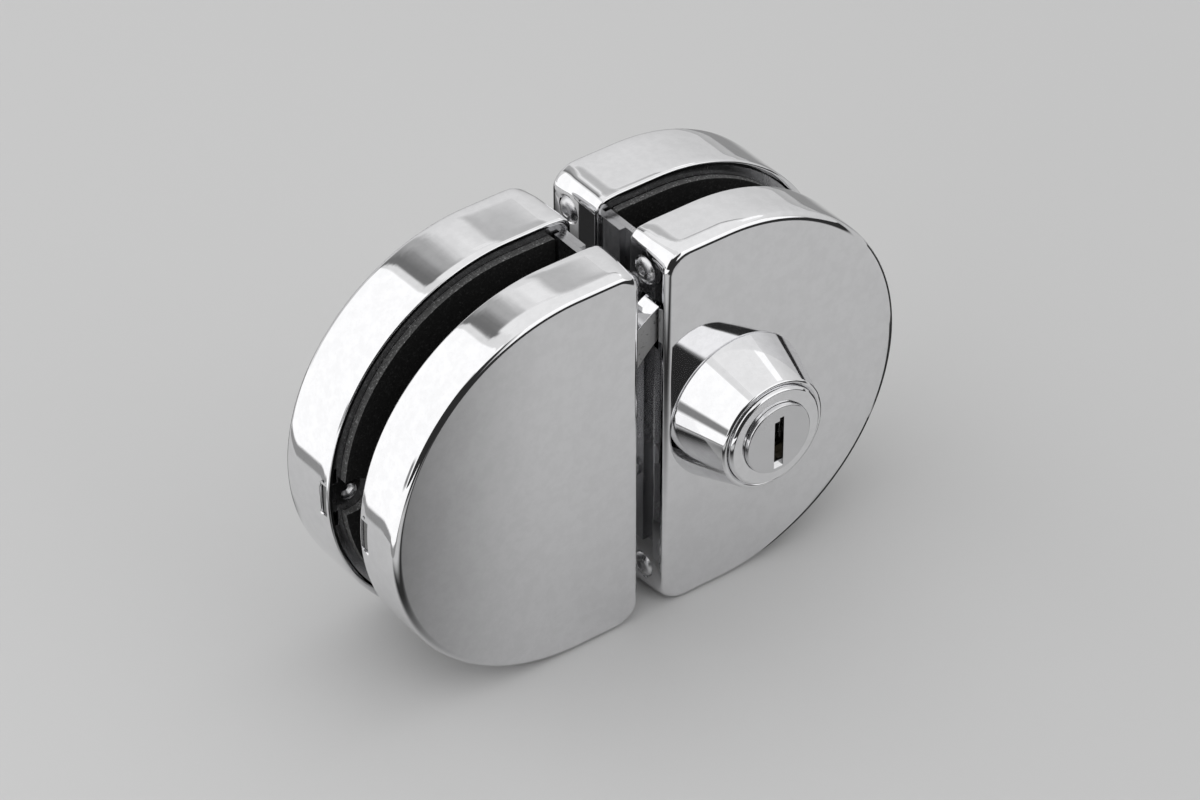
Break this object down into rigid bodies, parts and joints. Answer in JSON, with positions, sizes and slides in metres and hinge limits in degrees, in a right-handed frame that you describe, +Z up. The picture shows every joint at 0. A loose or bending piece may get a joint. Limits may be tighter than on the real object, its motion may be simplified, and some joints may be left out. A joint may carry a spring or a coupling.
{
  "type": "glass door lock",
  "caption": "Clamp-on lock for a pair of frameless glass doors: D-shaped halves of polished steel, a key cylinder in a cone collar, and a curved hook bolt that swings into the strike half.",
  "frame": {"origin": "midway between the straight sides of the two halves, on the middle plane of the glass, at the height of the key cylinder's axis", "axes": "+X along the doors to the lock half, +Y through the glass to the back, +Z up"},
  "size_m": [0.141, 0.0587, 0.1],
  "materials": {
    "polished_cover": "mirror-polished stainless sheet",
    "polished_collar": "polished plating",
    "satin_plug": "fine turned face",
    "screw_steel": "bright plated",
    "bracket_steel": "rolled sheet",
    "clamp_steel": "dark oxide",
    "spring_steel": "plain spring steel",
    "bolt_steel": "sintered sides and a polished edge",
    "wafer_brass": "stamped",
    "pad_rubber": "matt, faintly grained"
  },
  "bodies": {
    "lock_half": {"lock_front_cover": "polished_cover", "lock_rear_cover": "polished_cover", "lock_front_bracket": "bracket_steel", "lock_rear_bracket": "bracket_steel", "lock_front_pad": "pad_rubber", "lock_rear_pad": "pad_rubber", "lock_cover_screws": "screw_steel", "lock_clamp_screws": "clamp_steel", "lock_clamp_nuts": "bracket_steel", "lock_web_rivets": "screw_steel", "cylinder_collar": "polished_collar", "cylinder_body": "polished_collar", "cylinder_clip": "spring_steel", "stop_pins": "bracket_steel"},
    "bolt": {"plug": "satin_plug", "wafers": "wafer_brass", "wafer_springs": "spring_steel", "hook_bolt": "bolt_steel", "bolt_washer": "spring_steel", "bolt_screw": "screw_steel"},
    "strike_half": {"strike_front_cover": "polished_cover", "strike_rear_cover": "polished_cover", "strike_front_bracket": "bracket_steel", "strike_rear_bracket": "bracket_steel", "strike_front_pad": "pad_rubber", "strike_rear_pad": "pad_rubber", "strike_cover_screws": "screw_steel", "strike_clamp_screws": "clamp_steel", "strike_clamp_nuts": "bracket_steel", "strike_web_rivets": "screw_steel", "strike_keeper": "bracket_steel"}
  },
  "joints": [
    {"name": "key_turn", "type": "hinge", "parent": "lock_half", "child": "bolt", "pos_m": [0.0235, 0, 0], "axis": [0, 1, 0], "range_deg": [0, 90]},
    {"name": "strike_slide", "type": "slide", "parent": "lock_half", "child": "strike_half", "axis": [-1, 0, 0], "range_m": [0, 0.06]}
  ]
}
